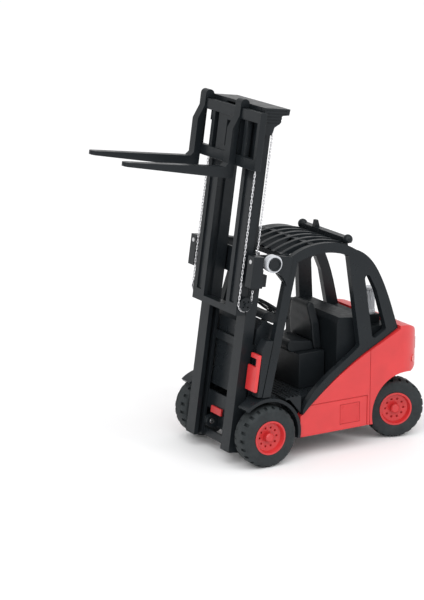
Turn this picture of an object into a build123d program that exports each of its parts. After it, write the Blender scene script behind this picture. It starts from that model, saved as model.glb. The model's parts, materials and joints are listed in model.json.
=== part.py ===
from build123d import *
import os
from math import asin, atan2, cos, degrees, hypot, radians, sin

os.makedirs("parts", exist_ok=True)

# Toy forklift truck, about 1:16. Millimetres.
# X points forward, Y to the driver's left, Z up, with Z = 0 on the floor.
# Sizes along X are counted from the front axle, which stands at FRONT_AXLE_X.
# Sizes on the mast are counted along the mast (w), across it (v) and forward of its pivot (u).

# ---- driving dimensions -------------------------------------------------------------------
FRONT_AXLE_X = 25.1126     # puts the middle of the whole truck's length at X = 0
GAP = 0.3                  # room between pieces that move past each other

TYRE_R = 22.0
TYRE_WIDTH = 16.0
RIM_R = 12.25
RIM_DISH = 4.5
HUB_R = 3.25
HUB_FACE = 0.6             # a hub's closed end, in from the tyre's outer face
HUB_BORE = 2.8             # where its blind bore ends
AXLE_R = 2.0
RUN_FIT = 0.06             # radial clearance of a running fit
FRONT_FACE_Y = 50.0        # outer face of a front tyre

KINGPIN_X = -120.0
KINGPIN_Y = 19.0
KINGPIN_R = 1.8
KNUCKLE_R = 3.5
REAR_FACE = 19.8           # outer face of a rear tyre, from its kingpin
STEER_REST = 16.0          # degrees that the rear wheels are turned as the truck stands
STEER_ARM = 12.0
ARM_Z = 44.5

BODY_Y = 44.0              # half width of the red body
PANEL_BOTTOM = 16.2
SEAM_X = -87.3
FENDER_R = 27.6
FENDER_WALL = 2.4
FENDER_Y = 46.0

CAB_FOOT_Y = 41.5          # the cab frame leans in from its foot to its roof
CAB_ROOF_Y = 33.0
CAB_FOOT_Z = 50.0
CAB_BAR = 5.2

PIVOT_X = 12.0
PIVOT_Z = 20.0
PIVOT_R = 2.0
MAST_BACK = 8.0            # degrees that the mast leans back as the truck stands
RAIL_FOOT = -12.0
RAIL_TOP = 131.0
MAST_HALF = 30.0
BEAM_INNER = 15.0
BEAM_FRONT = 17.5
BEAM_BACK = 9.5
MOVING_FOOT = 87.0         # the moving mast as the truck stands, fully raised
MOVING_TOP = 231.0
PULLEY_U = 12.2
PULLEY_LOW = 95.5
PULLEY_HIGH = 224.0
CHAIN_IN = 4.35
CHAIN_OUT = 5.35
CARRIAGE_HALF = 41.0
CARRIAGE_U = (19.0, 24.0)  # back and front of the carriage's bars
CARRIAGE_FOOT = 190.0
CARRIAGE_TOP = 230.0
FORK_FRONT = 29.4
FORK_FOOT = 180.5
FORK_TIP = 110.0
FORK_WIDTH = 7.4
FORK_Y = {"left": 12.0, "right": -35.5}

KNOB_SHAFT_R = 1.8
BOSS_Y = (35.4, 38.8)
KNOB = (-5.7, 145.2)       # tilt knob, from the front axle and from the floor

TILT_RANGE = 8.0
PIVOT_POINT = (PIVOT_X, PIVOT_Z)
KNOB_REACH = hypot(KNOB[0] - PIVOT_X, KNOB[1] - PIVOT_Z)
KNOB_ANGLE = degrees(atan2(KNOB[1] - PIVOT_Z, KNOB[0] - PIVOT_X))
ARM_Y = (25.6, 28.4)       # the slotted tilt arm, on the left side only
ARM_HALF = 3.2
SLOT_HALF = KNOB_SHAFT_R + GAP

# ---- frames -------------------------------------------------------------------------------
TRUCK = Plane(origin=(FRONT_AXLE_X, 0, 0))
LEAN = radians(MAST_BACK)
MAST = Plane(
    origin=(FRONT_AXLE_X + PIVOT_X, 0, PIVOT_Z),
    x_dir=(cos(LEAN), 0, sin(LEAN)),
    z_dir=(-sin(LEAN), 0, cos(LEAN)),
)


def side_plane(y):
    """Side view: local x forward from the front axle, local y up, extrudes towards the right."""
    return Plane(origin=(FRONT_AXLE_X, y, 0), x_dir=(1, 0, 0), z_dir=(0, -1, 0))


def mast_side(v):
    """Side view of the mast: local x is u, local y is w, extrudes towards the right."""
    origin = MAST.from_local_coords(Vector(0, v, 0))
    return Plane(origin=origin, x_dir=MAST.x_dir, z_dir=(0, -1, 0))


def mast_front(u):
    """Front view of the mast: local x is v, local y is w, extrudes forward."""
    origin = MAST.from_local_coords(Vector(u, 0, 0))
    return Plane(origin=origin, x_dir=(0, 1, 0), z_dir=MAST.x_dir)


def block(low, high, mode=Mode.ADD):
    """Box between two corners of the current workplane."""
    middle = tuple((a + b) / 2 for a, b in zip(low, high))
    with Locations(middle):
        Box(*[abs(b - a) for a, b in zip(low, high)], mode=mode)


def cross_rod(centre, radius, length, mode=Mode.ADD):
    """Cylinder along Y, centred on a point of the current workplane."""
    with Locations(centre):
        Cylinder(radius, length, rotation=(90, 0, 0), mode=mode)


def arm_point(angle, reach=KNOB_REACH):
    """Side-view point at an angle about the mast's pivot, as far out as the knob."""
    return (PIVOT_X + reach * cos(radians(angle)), PIVOT_Z + reach * sin(radians(angle)))


def arc_band(half_height, start, end):
    """Band of a circle about the mast's pivot, through the knob, between two angles."""
    corners = [PIVOT_POINT, arm_point(start, 2 * KNOB_REACH), arm_point(end, 2 * KNOB_REACH)]
    with Locations(PIVOT_POINT):
        Circle(KNOB_REACH + half_height)
        Circle(KNOB_REACH - half_height, mode=Mode.SUBTRACT)
    Polygon(*corners, align=None, mode=Mode.INTERSECT)


SIDES = {"left": 1, "right": -1}


# ---- wheels -------------------------------------------------------------------------------
def wheel_plane(x, y, side, turn=0.0):
    """Workplane on a wheel's outer face, with its axle along local z, pointing outwards."""
    angle = radians(turn)
    across = (cos(angle), -sin(angle), 0)
    outwards = (side * sin(angle), side * cos(angle), 0)
    return Plane(origin=(FRONT_AXLE_X + x, y, TYRE_R), x_dir=across, z_dir=outwards)


def half_section(plane):
    """Plane through a wheel's axle: local x is the radius, local y runs inwards along the axle."""
    return Plane(origin=plane.origin, x_dir=plane.x_dir, z_dir=plane.x_dir.cross(-plane.z_dir))


def axle_line(plane):
    return Axis(plane.origin, plane.z_dir)


FRONT_WHEEL = {name: wheel_plane(0, side * FRONT_FACE_Y, side) for name, side in SIDES.items()}
REAR_WHEEL = {}
for name, side in SIDES.items():
    turned = radians(STEER_REST)
    face_x = KINGPIN_X + side * REAR_FACE * sin(turned)
    face_y = side * (KINGPIN_Y + REAR_FACE * cos(turned))
    REAR_WHEEL[name] = wheel_plane(face_x, face_y, side, STEER_REST)

LUGS = 22
LUG_DEPTH = 1.6
LUG_SPAN = 5.4


def tyre(plane):
    """Solid block tyre: rounded shoulders, a smooth middle band and lugs along both shoulders."""
    with BuildPart() as body:
        with BuildSketch(half_section(plane)):
            with BuildLine():
                Polyline((RIM_R, 0.8), (15.0, 0), (18.6, 0.2))
                RadiusArc((18.6, 0.2), (TYRE_R, 3.6), -4.2)
                Line((TYRE_R, 3.6), (TYRE_R, TYRE_WIDTH - 3.6))
                RadiusArc((TYRE_R, TYRE_WIDTH - 3.6), (18.6, TYRE_WIDTH - 0.2), -4.2)
                Polyline((18.6, TYRE_WIDTH - 0.2), (15.0, TYRE_WIDTH), (RIM_R, TYRE_WIDTH - 0.8))
                Line((RIM_R, TYRE_WIDTH - 0.8), (RIM_R, 0.8))
            make_face()
        revolve(axis=axle_line(plane))
        for start in (0, TYRE_WIDTH - LUG_SPAN):
            with BuildSketch(plane.offset(-start)):
                with PolarLocations(TYRE_R + 0.2, LUGS, start_angle=start * 1.3):
                    Rectangle(LUG_DEPTH * 2, 2.2)
            extrude(amount=-LUG_SPAN, mode=Mode.SUBTRACT)
    return body.part


def rim(plane, bore_r):
    """Dished rim with a closed hub, a ring of round recesses and a blind bore for its axle."""
    with BuildPart() as body:
        with BuildSketch(half_section(plane)):
            with BuildLine():
                Polyline(
                    (0, HUB_FACE), (HUB_R - 0.8, HUB_FACE), (HUB_R, HUB_FACE + 0.8),
                    (HUB_R, RIM_DISH), (RIM_R - 2.4, RIM_DISH - 1.2), (RIM_R - 1.2, 0.3), (RIM_R, 0.3),
                    (RIM_R, TYRE_WIDTH - 0.6), (RIM_R - 1.4, TYRE_WIDTH - 0.6),
                    (RIM_R - 1.4, RIM_DISH + 2.2), (bore_r + 2.2, RIM_DISH + 3.4),
                    (bore_r, RIM_DISH + 3.4), (bore_r, HUB_BORE), (0, HUB_BORE),
                    close=True,
                )
            make_face()
        revolve(axis=axle_line(plane))
        with BuildSketch(plane.offset(-2.0)):
            with PolarLocations(6.9, 10):
                Circle(0.85)
        extrude(amount=-3.4, mode=Mode.SUBTRACT)
    return body.part


def keep(part, node):
    """Names a finished piece and writes its file."""
    part.label = node
    export_step(part, f"parts/{node}.step")


STUB_R = 1.7
for name in SIDES:
    keep(tyre(FRONT_WHEEL[name]), f"front_tyre_{name}")
    keep(rim(FRONT_WHEEL[name], AXLE_R + RUN_FIT), f"front_rim_{name}")
    keep(tyre(REAR_WHEEL[name]), f"rear_tyre_{name}")
    keep(rim(REAR_WHEEL[name], STUB_R + RUN_FIT), f"rear_rim_{name}")

AXLE_END = FRONT_FACE_Y - HUB_BORE - GAP
with BuildPart(TRUCK) as front_axle:
    cross_rod((0, 0, TYRE_R), AXLE_R, 2 * AXLE_END)
keep(front_axle.part, "front_axle")

# ---- steering axle ------------------------------------------------------------------------
FORK_Z = (27.0, 30.4)      # upper eye of the axle's forked end; the lower one mirrors it about the axle
with BuildPart(TRUCK) as rear_axle_beam:
    for side in SIDES.values():
        for low, high in (FORK_Z, (2 * TYRE_R - FORK_Z[1], 2 * TYRE_R - FORK_Z[0])):
            with Locations((KINGPIN_X, side * KINGPIN_Y, (low + high) / 2)):
                Cylinder(KNUCKLE_R, high - low)
            block((KINGPIN_X - 2.8, side * 11, low), (KINGPIN_X + 2.8, side * KINGPIN_Y, high))
        block((KINGPIN_X - 2.8, side * 9, 2 * TYRE_R - FORK_Z[1]), (KINGPIN_X + 2.8, side * 13, FORK_Z[1]))
    block((KINGPIN_X - 2.8, -9, 17), (KINGPIN_X + 2.8, 9, 27))
    for side in SIDES.values():
        with Locations((KINGPIN_X, side * KINGPIN_Y, TYRE_R)):
            Cylinder(KINGPIN_R + RUN_FIT, 40, mode=Mode.SUBTRACT)
keep(rear_axle_beam.part, "rear_axle_beam")

KNUCKLE_Z = (2 * TYRE_R - FORK_Z[0] + GAP, FORK_Z[0] - GAP)
ARM_TIP_R = 2.6
TIE_PIN_R = 1.1
turned = radians(STEER_REST)
ARM_TIP = (STEER_ARM * cos(turned), -STEER_ARM * sin(turned))
for name, side in SIDES.items():
    plane = REAR_WHEEL[name]
    with BuildPart(TRUCK) as knuckle:
        with Locations((KINGPIN_X, side * KINGPIN_Y, (12.8 + ARM_Z + 2) / 2)):
            Cylinder(KINGPIN_R, ARM_Z + 2 - 12.8)
        with Locations((KINGPIN_X, side * KINGPIN_Y, sum(KNUCKLE_Z) / 2)):
            Cylinder(KNUCKLE_R, KNUCKLE_Z[1] - KNUCKLE_Z[0])
        with BuildSketch(plane.offset(-REAR_FACE)):
            Circle(STUB_R)
        extrude(amount=REAR_FACE - HUB_BORE - GAP)
        with BuildSketch(Plane(origin=(FRONT_AXLE_X + KINGPIN_X, side * KINGPIN_Y, ARM_Z))):
            with Locations((ARM_TIP[0] / 2, ARM_TIP[1] / 2)):
                SlotCenterToCenter(STEER_ARM, 2 * ARM_TIP_R, rotation=-STEER_REST)
            with Locations(ARM_TIP):
                Circle(TIE_PIN_R + RUN_FIT, mode=Mode.SUBTRACT)
        extrude(amount=2)
    keep(knuckle.part, f"steering_knuckle_{name}")

with BuildPart(TRUCK) as tie_rod:
    tip_x = KINGPIN_X + ARM_TIP[0]
    with BuildSketch(Plane(origin=(FRONT_AXLE_X + tip_x, ARM_TIP[1], ARM_Z + 2 + GAP))):
        SlotCenterToCenter(2 * KINGPIN_Y, 4.4, rotation=90)
    extrude(amount=1.6)
    for side in SIDES.values():
        with Locations((tip_x, side * KINGPIN_Y + ARM_TIP[1], ARM_Z + 1.4)):
            Cylinder(TIE_PIN_R, 2.4)
keep(tie_rod.part, "tie_rod")

# ---- chassis ------------------------------------------------------------------------------
CHASSIS_Y = 27.0
LUG_Y = (10.5, 14.5)
with BuildPart(TRUCK) as chassis:
    block((-30, -CHASSIS_Y, 14), (7, CHASSIS_Y, 34))
    block((SEAM_X, -37, 16), (-30, 37, 20))
    block((-88, -12, 16), (-85, 12, 43.8))
    block((-128, -7, 31), (-86, 7, 44))
    block((-128, -7, 31), (-113, 7, 50))
    for side in SIDES.values():
        block((SEAM_X, side * 34, 20), (-30, side * 37, 42))
        with BuildSketch(side_plane(side * LUG_Y[1] if side > 0 else side * LUG_Y[0])):
            with BuildLine():
                Polyline((6, 15.5), (PIVOT_X, 15.5))
                RadiusArc((PIVOT_X, 15.5), (PIVOT_X, 24.5), -4.5)
                Polyline((PIVOT_X, 24.5), (6, 24.5), (6, 15.5))
            make_face()
        extrude(amount=LUG_Y[1] - LUG_Y[0])
    cross_rod((0, 0, TYRE_R), AXLE_R, 2 * CHASSIS_Y + 2, mode=Mode.SUBTRACT)
    cross_rod((PIVOT_X, 0, PIVOT_Z), PIVOT_R, 60, mode=Mode.SUBTRACT)
    block((KINGPIN_X - 3, -7.2, 14), (KINGPIN_X + 3, 7.2, 31), mode=Mode.SUBTRACT)
keep(chassis.part, "chassis")

SCREW_POINTS = [(-80, -28), (-80, 28), (-38, -28), (-38, 28)]
with BuildPart(TRUCK) as chassis_screws:
    for x, y in SCREW_POINTS:
        with Locations((x, y, 15.3)):
            Cylinder(2.4, 1.4)
keep(chassis_screws.part, "chassis_screws")

# ---- floor, steps and fenders -------------------------------------------------------------
FLOOR_Z = 42.0
with BuildPart(TRUCK) as floor_plate:
    block((-64, -37, FLOOR_Z), (-31, 37, FLOOR_Z + 2))
    block((-31, -30.2, FLOOR_Z), (-6, 30.2, FLOOR_Z + 2))
    for step in range(9):
        block((-38 + step * 3.4, -29, FLOOR_Z + 2), (-36.6 + step * 3.4, 29, FLOOR_Z + 2.8))
keep(floor_plate.part, "floor_plate")

for name, side in SIDES.items():
    with BuildPart(TRUCK) as fender:
        with BuildSketch(side_plane(FENDER_Y if side > 0 else -30.6)):
            with Locations((0, TYRE_R)):
                Circle(FENDER_R)
                Circle(FENDER_R - FENDER_WALL, mode=Mode.SUBTRACT)
            with Locations((0, -3)):
                Rectangle(80, 40, mode=Mode.SUBTRACT)
            with BuildLine():
                Polyline((0, TYRE_R), (48, TYRE_R + 60), (60, -10), (0, TYRE_R))
            make_face(mode=Mode.SUBTRACT)
        extrude(amount=FENDER_Y - 30.6)
        with BuildSketch(side_plane(33 if side > 0 else -30.6)):
            with Locations((0, TYRE_R)):
                Circle(FENDER_R - 1)
            with Locations((0, 15)):
                Rectangle(80, 44, mode=Mode.SUBTRACT)
        extrude(amount=2.4)
        block((9, side * 30, 30), (30, side * 33.8, 60), mode=Mode.SUBTRACT)
    keep(fender.part, f"front_fender_{name}")

    with BuildPart(TRUCK) as tread:
        block((-29, side * 31, 45.4), (-16, side * 43.5, 47))
        for step in range(4):
            block((-28 + step * 3.2, side * 32, 47), (-26.6 + step * 3.2, side * 43, 47.7))
        with BuildSketch(side_plane(43.5 if side > 0 else -42.1)):
            with BuildLine():
                Polyline((-29, 45.4), (-19.4, 45.4), (-28.4, 34.4), (-29, 34.4), (-29, 45.4))
            make_face()
        extrude(amount=1.4)
    keep(tread.part, f"step_tread_{name}")

# ---- red body -----------------------------------------------------------------------------
DIAGONAL = [(-28.2, 31.2), (-45.8, 45.9), (-63.3, 58.2), (SEAM_X, 71.6)]
PANEL_FRONT = -28.2
PANEL_THICK = 6.0
PANEL_LINE_Z = 38.7
HATCH = ((-78.6, 20.4), (-61.8, 35))
for name, side in SIDES.items():
    outer = BODY_Y if side > 0 else -BODY_Y + PANEL_THICK
    groove = BODY_Y + 0.1 if side > 0 else -BODY_Y + 0.7
    with BuildPart(TRUCK) as side_panel:
        with BuildSketch(side_plane(outer)):
            with BuildLine():
                top = Spline(DIAGONAL)
                Polyline(top @ 0, (PANEL_FRONT, PANEL_BOTTOM), (SEAM_X, PANEL_BOTTOM), top @ 1)
            make_face()
        extrude(amount=PANEL_THICK)
        with BuildSketch(side_plane(groove)):
            with Locations((-60, PANEL_LINE_Z)):
                Rectangle(50, 0.7)
            with Locations((-85, (PANEL_BOTTOM + PANEL_LINE_Z) / 2)):
                Rectangle(0.7, PANEL_LINE_Z - PANEL_BOTTOM)
        extrude(amount=0.8, mode=Mode.SUBTRACT)
        with BuildSketch(side_plane(BODY_Y + 0.1 if side > 0 else -BODY_Y + 1.6)):
            with Locations(((HATCH[0][0] + HATCH[1][0]) / 2, (HATCH[0][1] + HATCH[1][1]) / 2)):
                Rectangle(HATCH[1][0] - HATCH[0][0], HATCH[1][1] - HATCH[0][1])
        extrude(amount=1.7, mode=Mode.SUBTRACT)
    keep(side_panel.part, f"side_panel_{name}")

    face = BODY_Y - 0.1 if side > 0 else -BODY_Y + 1.6
    with BuildPart(TRUCK) as hatch:
        with BuildSketch(side_plane(face)):
            with Locations(((HATCH[0][0] + HATCH[1][0]) / 2, (HATCH[0][1] + HATCH[1][1]) / 2)):
                RectangleRounded(HATCH[1][0] - HATCH[0][0] - 0.5, HATCH[1][1] - HATCH[0][1] - 0.5, 0.8)
        extrude(amount=1.5)
        with BuildSketch(side_plane(BODY_Y if side > 0 else -BODY_Y + 0.9)):
            with Locations((sum(corner[0] for corner in HATCH) / 2, sum(corner[1] for corner in HATCH) / 2)):
                with GridLocations(12.6, 10.2, 2, 2):
                    Circle(0.8)
        extrude(amount=0.9, mode=Mode.SUBTRACT)
    keep(hatch.part, f"side_hatch_{name}")

with BuildPart(TRUCK) as hatch_screws:
    for side in SIDES.values():
        for x in (-76.5, -63.9):
            for z in (22.6, 32.8):
                cross_rod((x, side * (BODY_Y - 0.5), z), 0.75, 0.7)
keep(hatch_screws.part, "hatch_screws")

REAR_X = -140.0
BACK_X = -131.8            # the upright face above the bumper
CORNER = (-115.0, BODY_Y)  # where each rear corner starts to round
TAIL_CORNER = (-134.5, 31.0)
LAMP_X = BACK_X + 2.4
LAMP_Y = 31.5
LAMP_Z = 69.5
REFLECTOR_Z = 59.5
REFLECTOR_TURN = radians(35)
TOP_EDGE = [(-113, 86.4), (-121, 85.6), (-128.4, 82.2), (BACK_X, 76.5)]


def reflector_plane(side):
    """Outer face of a reflector, square to the rounded rear corner and just proud of it."""
    deep = CORNER[1] - TAIL_CORNER[1]
    corner_r = ((CORNER[0] - TAIL_CORNER[0]) ** 2 + deep**2) / (2 * deep)
    out = (-sin(REFLECTOR_TURN), side * cos(REFLECTOR_TURN), 0)
    centre = (FRONT_AXLE_X + CORNER[0], side * (CORNER[1] - corner_r), REFLECTOR_Z)
    return Plane(origin=centre, x_dir=(0, 0, 1), z_dir=out).offset(corner_r + 0.4)


with BuildPart(TRUCK) as counterweight:
    with BuildSketch(Plane(origin=(FRONT_AXLE_X, 0, 10))):
        with BuildLine():
            Line((SEAM_X - 0.3, -BODY_Y), (CORNER[0], -BODY_Y))
            TangentArc((CORNER[0], -BODY_Y), (TAIL_CORNER[0], -TAIL_CORNER[1]), tangent=(-1, 0))
            ThreePointArc((TAIL_CORNER[0], -TAIL_CORNER[1]), (REAR_X, 0), TAIL_CORNER)
            TangentArc(CORNER, TAIL_CORNER, tangent=(-1, 0))
            Polyline(CORNER, (SEAM_X - 0.3, BODY_Y), (SEAM_X - 0.3, -BODY_Y))
        make_face()
    extrude(amount=90)
    with BuildSketch(side_plane(BODY_Y + 1)):
        with BuildLine():
            Polyline((SEAM_X - 0.3, PANEL_BOTTOM), DIAGONAL[-1], (-98.5, 76.8), (-113, 83.8), TOP_EDGE[0])
            Spline(TOP_EDGE)
            Polyline(TOP_EDGE[-1], (BACK_X, 66.5), (REAR_X - 1, 62.5), (REAR_X - 1, 54))
            Polyline((REAR_X - 1, 54), (-131, 53), (-124, 50.6))
            ThreePointArc((-124, 50.6), (-104, 47.6), (-90.2, PANEL_BOTTOM))
            Line((-90.2, PANEL_BOTTOM), (SEAM_X - 0.3, PANEL_BOTTOM))
        make_face()
    extrude(amount=2 * BODY_Y + 2, mode=Mode.INTERSECT)
    block((-111, -36, 10), (SEAM_X, 36, 100), mode=Mode.SUBTRACT)
    block((-129, -32, 48), (-100, 32, 62), mode=Mode.SUBTRACT)
    for side in SIDES.values():
        with Locations((LAMP_X, side * LAMP_Y, LAMP_Z)):
            Box(6.1, 8.1, 9.1, mode=Mode.SUBTRACT)
        with BuildSketch(reflector_plane(side)):
            Circle(2.85)
        extrude(amount=-6.1, mode=Mode.SUBTRACT)
keep(counterweight.part, "counterweight")

with BuildPart(TRUCK) as tail_lamps:
    for side in SIDES.values():
        with Locations((LAMP_X, side * LAMP_Y, LAMP_Z)):
            Box(6, 8, 9)
keep(tail_lamps.part, "tail_lamps")

with BuildPart(TRUCK) as reflectors:
    for side in SIDES.values():
        with BuildSketch(reflector_plane(side)):
            Circle(2.8)
        extrude(amount=-6)
keep(reflectors.part, "reflectors")

# ---- cab frame ----------------------------------------------------------------------------
CAB_LEAN = asin((CAB_FOOT_Y - CAB_ROOF_Y) / 100)
ROOF_LINE = [(-23.4, 145.4), (-37.7, 151.3), (-50.2, 152.8), (-62.8, 151.7), (-78.7, 145.2)]
REAR_LINE = [(-78.7, 145.2), (-92.0, 135.7), (-100.9, 120.1), (-106.5, 104.9), (-112.4, 84.5)]


def cab_plane(side):
    """Plane of one side of the cab, leaning in: local x forward, local y up along the side."""
    up = (0, -side * sin(CAB_LEAN), cos(CAB_LEAN))
    normal = Vector(1, 0, 0).cross(Vector(*up))
    return Plane(origin=(FRONT_AXLE_X, side * CAB_FOOT_Y, CAB_FOOT_Z), x_dir=(1, 0, 0), z_dir=normal)


def raised(points):
    """Moves side-view points, measured from the floor, onto the leaning cab plane."""
    return [(x, (z - CAB_FOOT_Z) / cos(CAB_LEAN)) for x, z in points]


WINDOW_ROOF = [(-29.8, 141.8), (-50.0, 145.8), (-72.5, 141.4)]
WINDOW_BAND = [(-79.2, 75.6), (-55.0, 60.0), (-38.0, 46.8), (-30.4, 37.5)]
DOOR_FRONT = [(-20, 20), (-3.0, 50.0)]
REAR_WINDOW = [(-84.2, 137.0), (-95.2, 113.7), (-102.6, 84.6), (-90.4, 78.4)]
for name, side in SIDES.items():
    plane = cab_plane(side)
    with BuildPart() as cab_side:
        with BuildSketch(plane):
            with BuildLine():
                roof = Spline(raised(ROOF_LINE))
                rear = Spline(raised(REAR_LINE))
                band = Spline(raised([(-29.4, 33), (-45.8, 46.6), (-63.3, 58.9), (SEAM_X, 72.2)]))
                Polyline(roof @ 0, *raised([(3.4, 50), (-20, 50), (-29.4, 40)]), band @ 0)
                Polyline(band @ 1, *raised([(-98.5, 77.4)]), rear @ 1)
            make_face()
        extrude(amount=CAB_BAR / 2, both=True)
        with BuildSketch(plane) as windows:
            with BuildLine():
                top = Spline(raised(WINDOW_ROOF))
                sill = Spline(raised(WINDOW_BAND))
                Line(top @ 1, sill @ 0)
                Polyline(sill @ 1, *raised(DOOR_FRONT), top @ 0)
            make_face()
            with BuildLine():
                Polyline(*raised(REAR_WINDOW), *raised(REAR_WINDOW[:1]))
            make_face()
            fillet(windows.vertices().sort_by(Axis.Z)[1:], 2.4)
        extrude(amount=CAB_BAR, both=True, mode=Mode.SUBTRACT)
        with BuildSketch(side_plane(side * BOSS_Y[1] if side > 0 else side * BOSS_Y[0])):
            with Locations(KNOB):
                Circle(5.6)
            with BuildLine():
                Polyline((KNOB[0], KNOB[1] + 5.6), (-24, KNOB[1] + 1.5), (-19, 127))
                ThreePointArc((-19, 127), (-13.4, 136), (KNOB[0], KNOB[1] - 5.6))
                Line((KNOB[0], KNOB[1] - 5.6), (KNOB[0], KNOB[1] + 5.6))
            make_face()
        extrude(amount=BOSS_Y[1] - BOSS_Y[0])
        with BuildSketch(side_plane(36.5 if side > 0 else -32)):
            with BuildLine():
                Polyline((-14, KNOB[1] + 3.4), (-24, KNOB[1] + 1.5), (-19.5, 128), (-14, 135), close=True)
            make_face()
        extrude(amount=4.5)
        with BuildSketch(side_plane(side * BOSS_Y[1] + 10)):
            with Locations(KNOB):
                Circle(KNOB_SHAFT_R + RUN_FIT)
        extrude(amount=20, mode=Mode.SUBTRACT)
    keep(cab_side.part, f"cab_side_{name}")

ROOF_HALF = CAB_ROOF_Y - CAB_BAR / 2 - 0.5
SLAT_TOP = [(-22.2, 147.0), (-37.7, 152.2), (-50.2, 153.6), (-62.8, 152.4), (-72, 150.2)]
SLAT_DEEP = 3.9
with BuildPart(TRUCK) as roof_grille:
    for low, high, top in ((-27, -22, 147.0), (-47, -43, 152.6), (-76, -71, 149.4)):
        block((low, -ROOF_HALF, top - 4), (high, ROOF_HALF, top))
    for row in range(6):
        y = -25 + row * 10
        with BuildSketch(side_plane(y + 1.6)):
            with BuildLine():
                upper = Spline(SLAT_TOP)
                lower = Spline([(x, top - SLAT_DEEP) for x, top in reversed(SLAT_TOP)])
                Line(upper @ 1, lower @ 0)
                Line(lower @ 1, upper @ 0)
            make_face()
        extrude(amount=3.2)
    with BuildSketch(side_plane(ARM_Y[1] + GAP)):
        arc_band(ARM_HALF + GAP, KNOB_ANGLE, KNOB_ANGLE + 2 * TILT_RANGE)
    extrude(amount=ARM_Y[1] - ARM_Y[0] + 2 * GAP, mode=Mode.SUBTRACT)
keep(roof_grille.part, "roof_grille")

with BuildPart(TRUCK) as roof_crossbar:
    block((-78.4, -31, 149.6), (-73.2, 31, 153.2))
    for side in SIDES.values():
        with Locations((-75.8, side * 29.5, 151.8)):
            Sphere(3.6)
    block((-82, -40, 140), (-70, 40, 149.6), mode=Mode.SUBTRACT)
    with BuildSketch(side_plane(-10)):
        with BuildLine():
            Polyline((-78, 153), (-73.6, 153), (-74.6, 158.2), (-76.6, 158.2), (-78, 153))
        make_face()
    extrude(amount=3.4)
keep(roof_crossbar.part, "roof_crossbar")

# ---- cab interior -------------------------------------------------------------------------
WHEEL_TILT = radians(38)
STEERING = Plane(
    origin=(FRONT_AXLE_X - 28.5, 4, 101.5),
    x_dir=(cos(WHEEL_TILT), 0, sin(WHEEL_TILT)),
    z_dir=(-sin(WHEEL_TILT), 0, cos(WHEEL_TILT)),
)
COLUMN_R = 2.4
COLUMN_FOOT = 24.0
COWL_FRONT = -1.6          # on the mast's u axis, just behind the fixed mast
with BuildPart(TRUCK) as front_cowl:
    with BuildSketch(mast_side(30)):
        with BuildLine():
            Polyline(
                (COWL_FRONT, 26), (COWL_FRONT, 77), (-7, 83.5), (-16, 80), (-20, 62), (-13, 26),
                close=True,
            )
        make_face()
    extrude(amount=60)
    with BuildSketch(mast_side(36)):
        with BuildLine():
            Polyline((-3, 31.5), (-3, 60), (-7.6, 60), (-6.6, 31.5), (-3, 31.5))
        make_face()
    extrude(amount=72)
    for side in SIDES.values():
        with BuildSketch(mast_side(side * 39.5 + 4)):
            with BuildLine():
                Polyline((-0.6, 31.5), (0.4, 66), (-2.0, 72), (-7.6, 72), (-4.0, 31.5), (-0.6, 31.5))
            make_face()
        extrude(amount=8)
    with BuildSketch(STEERING.offset(-COLUMN_FOOT)):
        Circle(COLUMN_R + 0.05)
    extrude(amount=COLUMN_FOOT, mode=Mode.SUBTRACT)
keep(front_cowl.part, "front_cowl")

with BuildPart(TRUCK) as dashboard:
    with BuildSketch(side_plane(25)):
        with BuildLine():
            front = Line((-15.5, 97.6), (-6.8, 102.2))
            crown = Spline(front @ 1, (-10.5, 105.4), (-17.5, 104.2), (-21.5, 99.2))
            Polyline(crown @ 1, (-19.5, 96.4), front @ 0)
        make_face()
    extrude(amount=50)
keep(dashboard.part, "dashboard")

with BuildPart(STEERING) as steering_column:
    with Locations((0, 0, -(COLUMN_FOOT + 1.6) / 2)):
        Cylinder(COLUMN_R, COLUMN_FOOT - 1.6)
    with Locations((0, 0, -1)):
        Cylinder(1.2, 2.4)
keep(steering_column.part, "steering_column")

with BuildPart(STEERING) as steering_wheel:
    with BuildSketch(Plane(origin=STEERING.origin, x_dir=STEERING.x_dir, z_dir=(0, -1, 0))):
        with Locations((12.2, 0)):
            Circle(1.25)
    revolve(axis=Axis(STEERING.origin, STEERING.z_dir))
    with Locations((0, 0, 0)):
        Cylinder(3.2, 2.6)
    with PolarLocations(0, 3):
        with Locations((7, 0, 0)):
            Box(10.2, 2, 1.4)
    with Locations((0, 0, -0.6)):
        Cylinder(1.2 + RUN_FIT, 1.8, mode=Mode.SUBTRACT)
keep(steering_wheel.part, "steering_wheel")

with BuildPart(TRUCK) as seat_pedestal:
    block((-63, -21, FLOOR_Z + 2), (-41.3, 21, 70))
    block((-60, -18, FLOOR_Z + 1), (-44, 18, 67), mode=Mode.SUBTRACT)
keep(seat_pedestal.part, "seat_pedestal")

with BuildPart(TRUCK) as seat_cushion:
    with BuildSketch(side_plane(15)):
        with BuildLine():
            Polyline((-57.5, 70), (-39, 70))
            ThreePointArc((-39, 70), (-35.2, 74.6), (-38.4, 79.2))
            Polyline((-38.4, 79.2), (-56, 76.4), (-57.5, 70))
        make_face()
    extrude(amount=30)
keep(seat_cushion.part, "seat_cushion")

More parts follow.
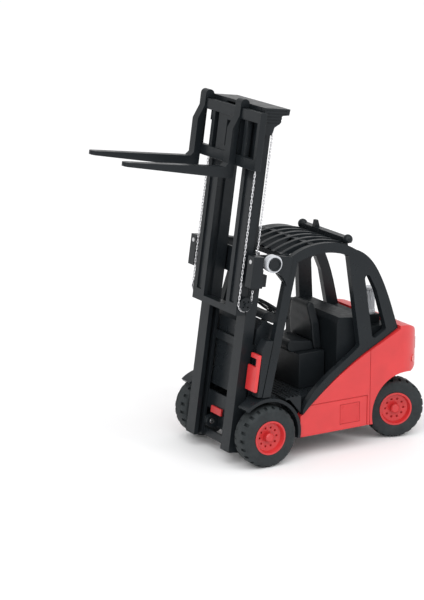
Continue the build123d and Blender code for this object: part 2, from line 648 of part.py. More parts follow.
SEAT_HALF = 15.0
HEAD_HALF = 10.0
with BuildPart(TRUCK) as seat_back:
    with BuildSketch(side_plane(SEAT_HALF)):
        with BuildLine():
            Polyline((-64.2, 70), (-58, 70), (-56.6, 77.5), (-54.4, 100))
            ThreePointArc((-54.4, 100), (-56.6, 103.8), (-60.4, 101.6))
            Line((-60.4, 101.6), (-64.2, 70))
        make_face()
    extrude(amount=2 * SEAT_HALF)
    with BuildSketch(Plane(origin=(FRONT_AXLE_X - 50, 0, 0), x_dir=(0, 1, 0), z_dir=(1, 0, 0))):
        with BuildLine():
            Polyline((-SEAT_HALF, 69), (-SEAT_HALF, 89), (-HEAD_HALF, 104), (HEAD_HALF, 104))
            Polyline((HEAD_HALF, 104), (SEAT_HALF, 89), (SEAT_HALF, 69), (-SEAT_HALF, 69))
        make_face()
    extrude(amount=-16, mode=Mode.INTERSECT)
keep(seat_back.part, "seat_back")

with BuildPart(TRUCK) as engine_hood:
    with BuildSketch(side_plane(34)):
        with BuildLine():
            Polyline((-64.6, 44), (-64.6, 93), (-66.6, 96.6), (-88, 94), (-88, 44), (-64.6, 44))
        make_face()
    extrude(amount=68)
    block((-85, -31, 43), (-67.6, 31, 91), mode=Mode.SUBTRACT)
keep(engine_hood.part, "engine_hood")

FILTER_AT = (-100.5, 22)
FILTER_FOOT = 92.6
COVER_TOP = 86.0
with BuildPart(TRUCK) as engine_cover:
    block((-110.7, -34, 78), (-88.3, 34, COVER_TOP))
    block((-110.7, -30, 62.3), (-88.3, 30, 78))
    with Locations((*FILTER_AT, (COVER_TOP - 1 + FILTER_FOOT) / 2)):
        Box(11, 11, FILTER_FOOT - COVER_TOP + 1)
keep(engine_cover.part, "engine_cover")

with BuildPart(TRUCK) as air_filter:
    with Locations((*FILTER_AT, FILTER_FOOT + 10)):
        Cylinder(3.6, 20)
    with Locations((*FILTER_AT, FILTER_FOOT + 2)):
        Cylinder(4.3, 4)
    with Locations((*FILTER_AT, FILTER_FOOT + 19.2)):
        Cylinder(4.3, 1.8)
keep(air_filter.part, "air_filter")

with BuildPart(TRUCK) as front_latch:
    with BuildSketch(mast_front(0.7)):
        with BuildLine():
            Polyline((31, 35), (44, 35), (44, 61.8), (33.5, 61.8), (33.5, 58.4))
            Polyline((33.5, 58.4), (41, 58.4), (41, 52.8), (31, 52.8), (31, 35))
        make_face()
    extrude(amount=2.4)
keep(front_latch.part, "front_latch")

# ---- fixed mast ---------------------------------------------------------------------------
RAIL_INNER = 18.5
RAIL_U = (0.5, 9.2)
GROOVE_U = (2.7, 6.1)
TONGUE_U = (3.0, 5.8)
TONGUE_OUT = 23.0
EAR_OUT = 43.0
EAR_INNER = 35.4
EAR_U = (8.0, 16.5)
EAR_W = (109.0, RAIL_TOP)
EAR_BACK = 6.9             # the ears stand clear of the cab posts behind them
LINK_OUT = 37.4            # outer edge of the plate that joins an ear to its rail
PIVOT_LUG = (24.4, 29.4)
NOTCH_W = 119.5            # above this the rails leave room for the tilt knob's shaft

with BuildPart(MAST) as fixed_mast:
    for side in SIDES.values():
        block((RAIL_U[0], side * RAIL_INNER, RAIL_FOOT), (RAIL_U[1], side * MAST_HALF, RAIL_TOP))
        block(
            (GROOVE_U[0], side * (RAIL_INNER - 1), RAIL_FOOT - 5),
            (GROOVE_U[1], side * (TONGUE_OUT + GAP), RAIL_TOP + 1),
            mode=Mode.SUBTRACT,
        )
        block((RAIL_U[0], side * 29, EAR_W[0]), (5.6, side * LINK_OUT, NOTCH_W - 2))
        block((RAIL_U[0], side * EAR_INNER, EAR_W[0]), (EAR_U[0], side * LINK_OUT, NOTCH_W - 2))
        block((EAR_BACK, side * EAR_INNER, EAR_W[0]), (EAR_U[0], side * EAR_OUT, NOTCH_W - 2))
        block((EAR_U[0], side * EAR_INNER, EAR_W[0]), (EAR_U[1], side * EAR_OUT, EAR_W[1]))
        cross_rod((0, side * sum(PIVOT_LUG) / 2, 0), 5, PIVOT_LUG[1] - PIVOT_LUG[0])
        block((-2, side * 24.9, NOTCH_W), (4.4, side * 31, RAIL_TOP + 1), mode=Mode.SUBTRACT)
    for low, high in ((RAIL_FOOT, -6.4), (9, 22), (60, 66), (110, NOTCH_W)):
        block((-1.0, -MAST_HALF, low), (RAIL_U[0] + 0.2, MAST_HALF, high))
    block((-1.0, -26, NOTCH_W), (RAIL_U[0] + 0.2, 26, RAIL_TOP - 3))
    cross_rod((0, 0, 0), PIVOT_R, 70, mode=Mode.SUBTRACT)
    for side in SIDES.values():
        with Locations((EAR_U[1], side * 39.2, 127)):
            Cylinder(1.6, 1.2, rotation=(0, 90, 0), mode=Mode.SUBTRACT)
    arm_end = KNOB_ANGLE + TILT_RANGE
    with BuildSketch(side_plane(ARM_Y[1])):
        arc_band(ARM_HALF, KNOB_ANGLE - 3, arm_end)
        with Locations(arm_point(arm_end)):
            Circle(ARM_HALF)
    extrude(amount=ARM_Y[1] - ARM_Y[0])
    for angle in (KNOB_ANGLE, arm_end):
        with BuildSketch(side_plane(MAST_HALF + 1)):
            with Locations(arm_point(angle)):
                Circle(SLOT_HALF)
        extrude(amount=MAST_HALF + 1 - 24.9, mode=Mode.SUBTRACT)
    with BuildSketch(side_plane(MAST_HALF + 1)):
        arc_band(SLOT_HALF, KNOB_ANGLE, arm_end)
    extrude(amount=MAST_HALF + 1 - 24.9, mode=Mode.SUBTRACT)
keep(fixed_mast.part, "fixed_mast")

with BuildPart(TRUCK) as mast_pivot_pins:
    for side in SIDES.values():
        middle = side * (LUG_Y[0] + PIVOT_LUG[1]) / 2
        cross_rod((PIVOT_X, middle, PIVOT_Z), PIVOT_R - RUN_FIT, PIVOT_LUG[1] - LUG_Y[0])
keep(mast_pivot_pins.part, "mast_pivot_pins")

with BuildPart(MAST) as mast_bolts:
    for side in SIDES.values():
        with Locations((EAR_U[1] - 0.15, side * 39.2, 127)):
            Cylinder(1.5, 0.9, rotation=(0, 90, 0))
keep(mast_bolts.part, "mast_bolts")

with BuildPart(MAST) as mast_release:
    block((0.7, -11, 7), (2.4, 3, 12))
keep(mast_release.part, "mast_release")

# ---- tilt knob ----------------------------------------------------------------------------
KNOB_FACE = 45.5
with BuildPart(TRUCK) as tilt_knob:
    shaft_end = ARM_Y[0] - 0.4
    cross_rod((KNOB[0], (shaft_end + 40) / 2, KNOB[1]), KNOB_SHAFT_R, 40 - shaft_end)
    cross_rod((KNOB[0], (39.1 + KNOB_FACE) / 2, KNOB[1]), 4.7, KNOB_FACE - 39.1)
    with BuildSketch(side_plane(KNOB_FACE)):
        with Locations(KNOB):
            Circle(3.4)
    extrude(amount=0.6, mode=Mode.SUBTRACT)
keep(tilt_knob.part, "tilt_knob")

with BuildPart(TRUCK) as knob_ring:
    cross_rod((KNOB[0], 41.6, KNOB[1]), 6.25, 5)
    cross_rod((KNOB[0], 41.6, KNOB[1]), 4.75, 8, mode=Mode.SUBTRACT)
keep(knob_ring.part, "knob_ring")

# ---- moving mast --------------------------------------------------------------------------
GUIDE_U = (11.0, 14.4)
GUIDE_OUT = 16.8
PULLEY_V = (30.3, 33.3)
PULLEY_PIN_R = 1.2
CAP_BACK = -3.0
COVER = [
    (17.2, 214.5), (17.2, 233), (CAP_BACK, 233), (CAP_BACK + 0.4, 228.8), (2.8, 228.2),
    (3.4, 223), (8.0, 220), (9.8, 214.5),
]
COVER_OUT = 35.0
with BuildPart(MAST) as moving_mast:
    for side in SIDES.values():
        outline = (
            (BEAM_BACK, BEAM_FRONT, BEAM_INNER, MAST_HALF),
            (GROOVE_U[0], BEAM_FRONT, BEAM_INNER, RAIL_INNER - GAP),
            (TONGUE_U[0], TONGUE_U[1], RAIL_INNER - 1, TONGUE_OUT),
        )
        for back, front, inner, outer in outline:
            block((back, side * inner, MOVING_FOOT), (front, side * outer, MOVING_TOP))
        block(
            (GUIDE_U[0], side * (BEAM_INNER - 1), MOVING_FOOT - 1),
            (GUIDE_U[1], side * GUIDE_OUT, MOVING_TOP + 1),
            mode=Mode.SUBTRACT,
        )
        block(
            (BEAM_FRONT - 1.2, side * 19.5, MOVING_FOOT + 8),
            (BEAM_FRONT + 1, side * 25.5, MOVING_TOP - 12),
            mode=Mode.SUBTRACT,
        )
    block((BEAM_BACK, -BEAM_INNER - 1, MOVING_FOOT), (BEAM_FRONT, BEAM_INNER + 1, MOVING_FOOT + 4.4))
    block((GROOVE_U[0], -BEAM_INNER - 1, 218), (10.6, BEAM_INNER + 1, MOVING_TOP))
    block((GROOVE_U[0], -MAST_HALF, MOVING_TOP), (BEAM_FRONT, MAST_HALF, MOVING_TOP + 2))
    block((CAP_BACK, -MAST_HALF, MOVING_TOP - 1.4), (GROOVE_U[0] + 0.1, MAST_HALF, MOVING_TOP + 2))
    for side in SIDES.values():
        with BuildSketch(mast_side(COVER_OUT if side > 0 else -MAST_HALF)):
            with BuildLine():
                Polyline(*COVER, close=True)
            make_face()
        extrude(amount=COVER_OUT - MAST_HALF)
        with BuildSketch(mast_side(COVER_OUT - 1.1 if side > 0 else -MAST_HALF)):
            with Locations((PULLEY_U, PULLEY_HIGH)):
                Circle(5.9)
            with Locations((PULLEY_U, PULLEY_HIGH - 10)):
                Rectangle(11.8, 20)
        extrude(amount=COVER_OUT - 1.1 - MAST_HALF, mode=Mode.SUBTRACT)
        for rib in range(5):
            low = 222.6 + rib * 2.1
            groove = (side * (COVER_OUT - 0.5), side * (COVER_OUT + 1))
            block((0, groove[0], low), (20, groove[1], low + 0.8), mode=Mode.SUBTRACT)
        middle = side * (MAST_HALF + COVER_OUT - 1) / 2
        for height in (PULLEY_HIGH, PULLEY_LOW):
            cross_rod((PULLEY_U, middle, height), PULLEY_PIN_R, COVER_OUT - MAST_HALF)
keep(moving_mast.part, "moving_mast")

for name, side in SIDES.items():
    for level, height in (("top", PULLEY_HIGH), ("bottom", PULLEY_LOW)):
        with BuildPart(MAST) as pulley:
            cross_rod((PULLEY_U, side * sum(PULLEY_V) / 2, height), 4.2, PULLEY_V[1] - PULLEY_V[0])
            for v in (PULLEY_V[0] + 0.2, PULLEY_V[1] - 0.2):
                cross_rod((PULLEY_U, side * v, height), 4.95, 0.4)
            cross_rod((PULLEY_U, side * 32, height), PULLEY_PIN_R + RUN_FIT, 8, mode=Mode.SUBTRACT)
            with Locations((PULLEY_U, side * 32, height)):
                for turn in range(4):
                    angle = radians(45 + 90 * turn)
                    with Locations((2.7 * cos(angle), 0, 2.7 * sin(angle))):
                        Cylinder(0.6, 8, rotation=(90, 0, 0), mode=Mode.SUBTRACT)
        keep(pulley.part, f"{level}_pulley_{name}")

    with BuildPart(MAST) as chain:
        with BuildSketch(mast_side(32.7 if side > 0 else -30.9)):
            with Locations((PULLEY_U, (PULLEY_HIGH + PULLEY_LOW) / 2)):
                SlotCenterToCenter(PULLEY_HIGH - PULLEY_LOW, 2 * CHAIN_OUT, rotation=90)
                SlotCenterToCenter(PULLEY_HIGH - PULLEY_LOW, 2 * CHAIN_IN, rotation=90, mode=Mode.SUBTRACT)
        extrude(amount=1.8)
    keep(chain.part, f"lift_chain_{name}")

with BuildPart(MAST) as chain_anchors:
    for side in SIDES.values():
        block((5.6, side * 33.1, 110.5), (7.4, side * 35.1, 116))
        block((5.6, side * 33.1, 107), (9.4, side * 34.6, 111))
        with Locations((8.6, side * 34.0, 107.4)):
            Sphere(1.7)
        block((0, side * 30, 100), (20, side * 33.1, 120), mode=Mode.SUBTRACT)
keep(chain_anchors.part, "chain_anchors")

# ---- carriage and forks -------------------------------------------------------------------
BAR = 7.5
with BuildPart(MAST) as carriage:
    for low in (CARRIAGE_FOOT, CARRIAGE_TOP - BAR):
        block((CARRIAGE_U[0], -CARRIAGE_HALF, low), (CARRIAGE_U[1], CARRIAGE_HALF, low + BAR))
    for side in SIDES.values():
        end_bar = (side * 37.6, side * CARRIAGE_HALF)
        block((CARRIAGE_U[0], end_bar[0], CARRIAGE_FOOT), (CARRIAGE_U[1], end_bar[1], CARRIAGE_TOP))
        block((CARRIAGE_U[0], side * 20, CARRIAGE_FOOT), (CARRIAGE_U[1] - 1, side * 24, CARRIAGE_TOP))
        block((11.3, side * 11, 192), (19.2, side * 14.7, 225))
        block((11.3, side * 14.5, 193), (14.1, side * 16.5, 225))
    block((CARRIAGE_U[0], -14.7, CARRIAGE_FOOT), (CARRIAGE_U[1] - 1, 14.7, CARRIAGE_TOP))
    block((CARRIAGE_U[0] - 1, -3, 201), (CARRIAGE_U[1], 3, 219), mode=Mode.SUBTRACT)
keep(carriage.part, "carriage")

for name, y in FORK_Y.items():
    with BuildPart(MAST) as fork:
        with BuildSketch(mast_side(y + FORK_WIDTH / 2)):
            with BuildLine():
                back = CARRIAGE_U[1] + GAP
                Polyline(
                    (back, FORK_FOOT + 1.5), (back + 1.5, FORK_FOOT), (FORK_TIP, 185.6),
                    (FORK_TIP + 0.8, 187.2), (FORK_TIP, 188.5), (FORK_FRONT + 2.5, 188.5),
                    (FORK_FRONT, 191), (FORK_FRONT, 215),
                    (back + 0.8, 224.5), (back + 0.8, 233),
                )
                ThreePointArc((back + 0.8, 233), (22, 236), (18.2, 233))
                Polyline((18.2, 233), (17.8, 227), (18.7, 227), (18.7, CARRIAGE_TOP + GAP))
                Polyline((18.7, CARRIAGE_TOP + GAP), (back, CARRIAGE_TOP + GAP), (back, FORK_FOOT + 1.5))
            make_face()
        extrude(amount=FORK_WIDTH)
        with BuildSketch(MAST.offset(FORK_FOOT - 1)):
            with BuildLine():
                near, far = y + FORK_WIDTH / 2, y - FORK_WIDTH / 2
                tip = ThreePointArc((FORK_TIP - 3, near), (FORK_TIP + 0.4, y), (FORK_TIP - 3, far))
                Polyline(tip @ 1, (FORK_TIP + 3, far), (FORK_TIP + 3, near), tip @ 0)
            make_face()
        extrude(amount=14, mode=Mode.SUBTRACT)
    keep(fork.part, f"fork_{name}")
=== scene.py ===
"""Looks of a toy forklift truck, built round its CAD frame.

Moulded plastic, rubber tyres, plated steel, chains of wire links, a fluted air filter and a seat
with rounded edges. Lengths are in metres; MM turns millimetres into them.
"""

import json
from math import cos, pi, radians, sin, tau

import bmesh
import bpy
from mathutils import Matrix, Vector


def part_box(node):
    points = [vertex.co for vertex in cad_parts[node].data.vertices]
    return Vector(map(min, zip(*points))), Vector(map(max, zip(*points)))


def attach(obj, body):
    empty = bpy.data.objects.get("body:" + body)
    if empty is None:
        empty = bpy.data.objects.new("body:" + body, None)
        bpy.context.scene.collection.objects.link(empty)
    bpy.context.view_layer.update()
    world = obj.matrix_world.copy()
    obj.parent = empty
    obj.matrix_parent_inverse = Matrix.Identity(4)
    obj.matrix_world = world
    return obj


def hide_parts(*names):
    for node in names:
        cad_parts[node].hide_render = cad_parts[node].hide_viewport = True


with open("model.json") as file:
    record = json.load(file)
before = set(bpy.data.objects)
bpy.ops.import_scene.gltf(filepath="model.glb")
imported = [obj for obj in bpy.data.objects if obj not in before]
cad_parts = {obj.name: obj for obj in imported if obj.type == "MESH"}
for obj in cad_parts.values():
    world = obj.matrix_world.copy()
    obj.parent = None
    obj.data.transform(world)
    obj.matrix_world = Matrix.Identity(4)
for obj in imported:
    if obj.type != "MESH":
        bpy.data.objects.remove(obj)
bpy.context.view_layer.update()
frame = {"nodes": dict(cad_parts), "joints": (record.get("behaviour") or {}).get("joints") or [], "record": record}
MM = 0.001
SIDES = ("left", "right")


# ---- places taken from the frame ----------------------------------------------------------
def middle(node):
    low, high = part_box(node)
    return (low + high) / 2


AXLE = middle("front_axle")
LIFT = next(joint for joint in frame["joints"] if joint["name"] == "mast_lift")
UP = Vector(LIFT["axis"]).normalized()      # along the mast
ACROSS = Vector((0, 1, 0))
FORWARD = ACROSS.cross(UP)


# ---- material helpers ---------------------------------------------------------------------
NOISE_LOW, NOISE_HIGH = 0.3, 0.7            # nearly all of a noise texture lies between these


def material(name):
    """An empty node material and its shader."""
    made = bpy.data.materials.new(name)
    made.use_nodes = True
    nodes = made.node_tree.nodes
    nodes.clear()
    shader = nodes.new("ShaderNodeBsdfPrincipled")
    output = nodes.new("ShaderNodeOutputMaterial")
    made.node_tree.links.new(shader.outputs["BSDF"], output.inputs["Surface"])
    return made, shader


def add(made, kind, **inputs):
    """A node with its sockets set; an underscore in a socket's name stands for a space."""
    node = made.node_tree.nodes.new(kind)
    for key, value in inputs.items():
        node.inputs[key.replace("_", " ")].default_value = value
    return node


def link(made, source, target):
    made.node_tree.links.new(source, target)


def noise(made, scale, detail=3.0, roughness=0.5):
    """Noise in the piece's own coordinates; scale is in features per metre."""
    place = add(made, "ShaderNodeTexCoord")
    texture = add(made, "ShaderNodeTexNoise", Scale=scale, Detail=detail, Roughness=roughness)
    link(made, place.outputs["Object"], texture.inputs["Vector"])
    return texture.outputs["Fac"]


def spread(made, source, low, high):
    """Maps a texture onto a range of values."""
    span = {"From_Min": NOISE_LOW, "From_Max": NOISE_HIGH, "To_Min": low, "To_Max": high}
    node = add(made, "ShaderNodeMapRange", **span)
    link(made, source, node.inputs["Value"])
    return node.outputs["Result"]


def two_tones(made, source, dark, light, target):
    """Colour that wanders between two tones."""
    ramp = add(made, "ShaderNodeValToRGB")
    stops = ((NOISE_LOW, dark), (NOISE_HIGH, light))
    for element, (position, colour) in zip(ramp.color_ramp.elements, stops):
        element.position = position
        element.color = (*colour, 1)
    link(made, source, ramp.inputs["Fac"])
    link(made, ramp.outputs["Color"], target)


def bump(made, source, shader, depth, strength=0.5):
    """Relief of a depth in metres."""
    node = add(made, "ShaderNodeBump", Strength=strength, Distance=depth)
    link(made, source, node.inputs["Height"])
    link(made, node.outputs["Normal"], shader.inputs["Normal"])


def tinted(colour, factor):
    return tuple(channel * factor for channel in colour)


def moulded_plastic(name, colour, gloss, grain=0.03 * MM, coat=0.0, specular=0.5):
    """Injection-moulded plastic: faint flow shading, a fine spark-eroded grain and uneven gloss."""
    made, shader = material(name)
    flow = noise(made, scale=60, detail=2)
    two_tones(made, flow, tinted(colour, 0.93), tinted(colour, 1.06), shader.inputs["Base Color"])
    skin = noise(made, scale=220, detail=4)
    link(made, spread(made, skin, gloss * 0.85, gloss * 1.2), shader.inputs["Roughness"])
    bump(made, noise(made, scale=2600, detail=3, roughness=0.6), shader, grain)
    shader.inputs["Specular IOR Level"].default_value = specular
    shader.inputs["Coat Weight"].default_value = coat
    shader.inputs["Coat Roughness"].default_value = 0.12
    return made


CLEAN_RUBBER = (0.013, 0.0165, 0.018)
DUSTY_RUBBER = (0.023, 0.028, 0.030)


def rubber(name):
    """Matt tyre rubber with a dusty bloom."""
    made, shader = material(name)
    bloom = noise(made, scale=130, detail=5, roughness=0.6)
    two_tones(made, bloom, CLEAN_RUBBER, DUSTY_RUBBER, shader.inputs["Base Color"])
    wear = noise(made, scale=500, detail=4)
    link(made, spread(made, wear, 0.58, 0.78), shader.inputs["Roughness"])
    bump(made, noise(made, scale=3000, detail=4, roughness=0.7), shader, 0.06 * MM)
    shader.inputs["Specular IOR Level"].default_value = 0.3
    return made


def steel(name, colour, gloss):
    """Bright plated steel with faint stains and a fine uneven polish."""
    made, shader = material(name)
    stain = noise(made, scale=900, detail=4)
    two_tones(made, stain, tinted(colour, 0.85), tinted(colour, 1.05), shader.inputs["Base Color"])
    polish = noise(made, scale=1800, detail=3)
    link(made, spread(made, polish, gloss * 0.7, gloss * 1.4), shader.inputs["Roughness"])
    bump(made, noise(made, scale=5000, detail=2), shader, 0.02 * MM)
    shader.inputs["Metallic"].default_value = 1.0
    return made


def lens(name, colour):
    """Glossy coloured lamp plastic with fine level ribs."""
    made, shader = material(name)
    place = add(made, "ShaderNodeTexCoord")
    wave = add(made, "ShaderNodeTexWave", Scale=260.0, Distortion=0.0)
    wave.bands_direction = "Z"
    link(made, place.outputs["Object"], wave.inputs["Vector"])
    two_tones(made, wave.outputs["Fac"], tinted(colour, 0.7), colour, shader.inputs["Base Color"])
    bump(made, wave.outputs["Fac"], shader, 0.1 * MM, strength=0.4)
    link(made, spread(made, noise(made, scale=300), 0.12, 0.22), shader.inputs["Roughness"])
    shader.inputs["Coat Weight"].default_value = 0.6
    return made


# ---- materials, one for each slot of the record -------------------------------------------
RED = (0.55, 0.026, 0.028)
BLACK = (0.0105, 0.0132, 0.0155)
DULL = 0.20                                 # the black plastic mirrors little of the room
DULLEST = 0.1
MATERIALS = {
    "red_body": moulded_plastic("red_body_plastic", RED, 0.36, coat=0.15),
    "hatch_red": moulded_plastic("hatch_red_plastic", tinted(RED, 0.97), 0.40),
    "release_red": moulded_plastic("release_red_plastic", tinted(RED, 0.8), 0.42),
    "rim_red": moulded_plastic("rim_red_plastic", tinted(RED, 0.9), 0.34, coat=0.1),
    "black_frame": moulded_plastic("black_frame_plastic", BLACK, 0.30, specular=DULL),
    "mast_black": moulded_plastic("mast_black_plastic", tinted(BLACK, 0.95), 0.32, specular=DULL),
    "seat_black": moulded_plastic(
        "seat_black_plastic", tinted(BLACK, 0.8), 0.38, grain=0.06 * MM, specular=DULL,
    ),
    "engine_black": moulded_plastic(
        "engine_black_plastic", tinted(BLACK, 0.8), 0.42, specular=DULLEST,
    ),
    "tyre_rubber": rubber("tyre_rubber"),
    "steel": steel("plated_steel", (0.62, 0.62, 0.63), 0.28),
    "chain_silver": steel("chain_steel", (0.78, 0.78, 0.80), 0.24),
    "silver": moulded_plastic("silver_plastic", (0.55, 0.57, 0.60), 0.30, coat=0.3),
    "lamp_red": lens("lamp_plastic", (0.25, 0.01, 0.01)),
    "reflector_red": lens("reflector_plastic", (0.62, 0.02, 0.015)),
}
SLOT_OF = {part["node"]: part["material_slot"] for part in frame["record"]["subparts"]}


# ---- CAD nodes that show: clean shading and soft moulded edges ----------------------------
MERGE = 0.004 * MM                          # vertices nearer than this are one
FLAT = radians(0.6)                         # faces that differ by less are one
SHARP = radians(28)                         # an edge that turns by more is rounded
FINE_EDGE = 0.12 * MM
SOFT_EDGE = 0.3 * MM
ROUND_EDGE = 0.5 * MM
FINE_NODES = (
    "hatch_screws", "reflectors", "top_pulley_left", "top_pulley_right", "bottom_pulley_left",
    "bottom_pulley_right", "knob_ring", "tilt_knob", "steering_wheel", "mast_bolts",
    "chassis_screws",
)
ROUND_NODES = (
    "side_panel_left", "side_panel_right", "counterweight", "seat_pedestal", "front_latch",
    "fixed_mast",
)
EDGES = {**dict.fromkeys(FINE_NODES, FINE_EDGE), **dict.fromkeys(ROUND_NODES, ROUND_EDGE)}


def paint(piece, made):
    piece.data.materials.clear()
    piece.data.materials.append(made)


def soften(node, width):
    """Rounds a CAD node's edges with modifiers, which leave its mesh as it is."""
    mesh = node.data
    if "custom_normal" in mesh.attributes:
        mesh.attributes.remove(mesh.attributes["custom_normal"])
    mesh.shade_smooth()
    weld = node.modifiers.new("weld", "WELD")
    weld.merge_threshold = MERGE
    flat = node.modifiers.new("flat", "DECIMATE")
    flat.decimate_type = "DISSOLVE"
    flat.angle_limit = FLAT
    edge = node.modifiers.new("edge", "BEVEL")
    edge.width = width
    edge.segments = 2
    edge.limit_method = "ANGLE"
    edge.angle_limit = SHARP
    edge.use_clamp_overlap = True
    even = node.modifiers.new("even", "WEIGHTED_NORMAL")
    even.keep_sharp = False


for name, node in frame["nodes"].items():
    paint(node, MATERIALS[SLOT_OF[name]])
    soften(node, EDGES.get(name, SOFT_EDGE))


# ---- pieces made here ---------------------------------------------------------------------
def new_piece(name, mesh, slot, body, node):
    """Makes a bmesh into a piece with a slot's material, on a body, in place of a CAD node."""
    data = bpy.data.meshes.new(name)
    mesh.to_mesh(data)
    mesh.free()
    data.shade_smooth()
    piece = bpy.data.objects.new(name, data)
    bpy.context.scene.collection.objects.link(piece)
    paint(piece, MATERIALS[slot])
    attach(piece, body)
    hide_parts(node)


def join_rings(mesh, rings, closed):
    """Faces between neighbouring rings of vertices, and between the last and first if closed."""
    pairs = list(zip(rings, rings[1:]))
    if closed:
        pairs.append((rings[-1], rings[0]))
    for lower, upper in pairs:
        for k in range(len(lower)):
            n = (k + 1) % len(lower)
            mesh.faces.new((lower[k], lower[n], upper[n], upper[k]))


LINK_PITCH = 2.25 * MM
LINK_HALF = 1.05 * MM                       # half the straight part of a link
LINK_R = 0.50 * MM                          # a link's round end, to the middle of its wire
WIRE_R = 0.22 * MM
LOOP_R = 5.05 * MM                          # from a pulley's middle to the middle of its chain
LINK_STEPS = 14
WIRE_STEPS = 6


def loop_point(top, bottom, way):
    """Place and direction at a way round two pulleys, counted up from the front run's foot."""
    run = (top - bottom).length
    bend = pi * LOOP_R
    if way < run:
        return bottom + FORWARD * LOOP_R + UP * way, UP
    if way < run + bend:
        angle = (way - run) / LOOP_R
        out = FORWARD * cos(angle) + UP * sin(angle)
        return top + out * LOOP_R, UP * cos(angle) - FORWARD * sin(angle)
    if way < 2 * run + bend:
        return top - FORWARD * LOOP_R - UP * (way - run - bend), -UP
    angle = (way - 2 * run - bend) / LOOP_R
    out = -FORWARD * cos(angle) - UP * sin(angle)
    return bottom + out * LOOP_R, FORWARD * sin(angle) - UP * cos(angle)


def add_link(mesh, centre, along, turn):
    """One oval wire link, its flat side turned about the chain."""
    side = (ACROSS * cos(turn) + along.cross(ACROSS) * sin(turn)).normalized()
    face = along.cross(side)
    rings = []
    for step in range(LINK_STEPS):
        angle = tau * step / LINK_STEPS
        out = along * cos(angle) + side * sin(angle)
        straight = along * (LINK_HALF if cos(angle) > 0 else -LINK_HALF)
        spot = centre + straight + out * LINK_R
        section = [tau * k / WIRE_STEPS for k in range(WIRE_STEPS)]
        wire = [spot + (out * cos(a) + face * sin(a)) * WIRE_R for a in section]
        rings.append([mesh.verts.new(point) for point in wire])
    join_rings(mesh, rings, closed=True)


def link_chain(side):
    """A closed loop of links, each a quarter turn from the last, so their number is even."""
    top = middle(f"top_pulley_{side}")
    bottom = middle(f"bottom_pulley_{side}")
    length = 2 * (top - bottom).length + tau * LOOP_R
    links = 2 * round(length / LINK_PITCH / 2)
    mesh = bmesh.new()
    for number in range(links):
        centre, along = loop_point(top, bottom, length * number / links)
        add_link(mesh, centre, along, pi / 4 + pi / 2 * (number % 2))
    new_piece(f"link_chain_{side}", mesh, "chain_silver", "mast_inner", f"lift_chain_{side}")


FLUTES = 18
FLUTE_STEPS = 6
# Up the filter: height over its own, then radius and depth of the flutes over its half width.
FILTER_PROFILE = (
    (0.0, 1.0, 0), (0.17, 1.0, 0), (0.20, 0.82, 0), (0.215, 0.84, 0.05), (0.23, 0.84, 0.07),
    (0.86, 0.86, 0.07), (0.88, 0.84, 0.04), (0.895, 0.86, 0), (0.905, 0.99, 0), (0.97, 1.0, 0),
    (0.995, 0.94, 0), (0.995, 0.70, 0), (0.965, 0.62, 0), (0.965, 0.2, 0),
)


def fluted_filter():
    """Silver air filter: a plain foot, a fluted can and a stepped cap with a dished top."""
    low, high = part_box("air_filter")
    centre = (low + high) / 2
    wide = (high.x - low.x) / 2
    tall = high.z - low.z
    steps = FLUTES * FLUTE_STEPS
    mesh = bmesh.new()
    rings = []
    for height, radius, flute in FILTER_PROFILE:
        z = low.z + tall * height
        ring = []
        for angle in (tau * step / steps for step in range(steps)):
            reach = wide * (radius + flute * cos(FLUTES * angle))
            point = (centre.x + reach * cos(angle), centre.y + reach * sin(angle), z)
            ring.append(mesh.verts.new(point))
        rings.append(ring)
    join_rings(mesh, rings, closed=False)
    mesh.faces.new(rings[0][::-1])
    mesh.faces.new(rings[-1])
    new_piece("fluted_filter", mesh, "silver", "truck", "air_filter")


VOXEL = 0.5 * MM
SMOOTHINGS = 14


def rounded(node, name):
    """A CAD node's shape with every edge rounded over, as soft moulding, in the node's place."""
    shape = bpy.data.objects.new("shape", frame["nodes"][node].data.copy())
    bpy.context.scene.collection.objects.link(shape)
    remesh = shape.modifiers.new("even", "REMESH")
    remesh.mode = "VOXEL"
    remesh.voxel_size = VOXEL
    relax = shape.modifiers.new("relax", "SMOOTH")
    relax.iterations = SMOOTHINGS
    relax.factor = 0.5
    depsgraph = bpy.context.evaluated_depsgraph_get()
    made = bpy.data.meshes.new_from_object(shape.evaluated_get(depsgraph))
    bpy.data.objects.remove(shape)
    mesh = bmesh.new()
    mesh.from_mesh(made)
    new_piece(name, mesh, SLOT_OF[node], "truck", node)


for side in SIDES:
    link_chain(side)
fluted_filter()
rounded("seat_cushion", "seat_cushion_moulding")
rounded("seat_back", "seat_back_moulding")


# ---- camera, floor and light --------------------------------------------------------------
SENSOR = 36.0                               # millimetres, along the frame's long side
LENS = 138.0                                # millimetres
AZIMUTH = radians(30.5)                     # off the +Y direction, towards the truck's front
ELEVATION = radians(14.7)
CAMERA_FROM_AXLE = Vector((812.685, 1348.374, 523.757)) * MM    # from the floor under the axle
FLOOR_HALF = 8.0
SUN_POWER = 1.55
SUN_ANGLE = radians(70)                     # as wide as a softly lit ceiling
TARGET = (0, 0, 0.1)                        # what the lamps point at
SKY_POWER = 0.78

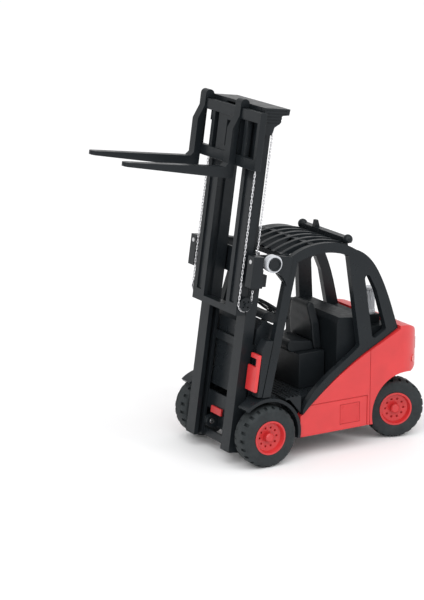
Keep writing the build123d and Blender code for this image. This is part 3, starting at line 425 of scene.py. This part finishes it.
camera_data = bpy.data.cameras.new("camera")
camera_data.lens = LENS
camera_data.sensor_fit = "AUTO"
camera_data.sensor_width = SENSOR
camera_data.clip_end = 40
camera = bpy.data.objects.new("camera", camera_data)
bpy.context.scene.collection.objects.link(camera)
level = cos(ELEVATION)
looks = Vector((-sin(AZIMUTH) * level, -cos(AZIMUTH) * level, -sin(ELEVATION)))
camera.location = Vector((AXLE.x, 0, 0)) + CAMERA_FROM_AXLE
camera.rotation_euler = looks.to_track_quat("-Z", "Y").to_euler()
bpy.context.scene.camera = camera

floor_mesh = bpy.data.meshes.new("floor")
signs = ((-1, -1), (1, -1), (1, 1), (-1, 1))
corners = [(x * FLOOR_HALF, y * FLOOR_HALF, 0) for x, y in signs]
floor_mesh.from_pydata(corners, [], [(0, 1, 2, 3)])
floor = bpy.data.objects.new("floor", floor_mesh)
bpy.context.scene.collection.objects.link(floor)
pale, pale_shader = material("pale_floor")
pale_shader.inputs["Base Color"].default_value = (0.90, 0.90, 0.905, 1)
pale_shader.inputs["Roughness"].default_value = 0.55
pale_shader.inputs["Specular IOR Level"].default_value = 0.25
paint(floor, pale)


def aim(lamp, place):
    """Puts a lamp in the scene, pointing at the target."""
    bpy.context.scene.collection.objects.link(lamp)
    lamp.location = place
    lamp.rotation_euler = (Vector(TARGET) - Vector(place)).to_track_quat("-Z", "Y").to_euler()


def softbox(name, place, size, power):
    """A rectangular soft lamp, size in metres and power in watts."""
    data = bpy.data.lights.new(name, "AREA")
    data.shape = "RECTANGLE"
    data.size, data.size_y = size
    data.energy = power
    aim(bpy.data.objects.new(name, data), place)


sun = bpy.data.lights.new("ceiling", "SUN")
sun.energy = SUN_POWER
sun.angle = SUN_ANGLE
aim(bpy.data.objects.new("ceiling", sun), place=(0.5, 0.9, 1.6))
softbox("front_box", place=(1.3, 1.1, 0.9), size=(0.25, 1.1), power=5)
softbox("rear_box", place=(-0.7, 1.3, 1.3), size=(0.3, 0.9), power=5)

world = bpy.data.worlds.new("studio")
world.use_nodes = True
sky = world.node_tree.nodes["Background"]
sky.inputs["Color"].default_value = (1.0, 1.0, 1.0, 1)
sky.inputs["Strength"].default_value = SKY_POWER
bpy.context.scene.world = world
bpy.context.scene.view_settings.view_transform = "Standard"
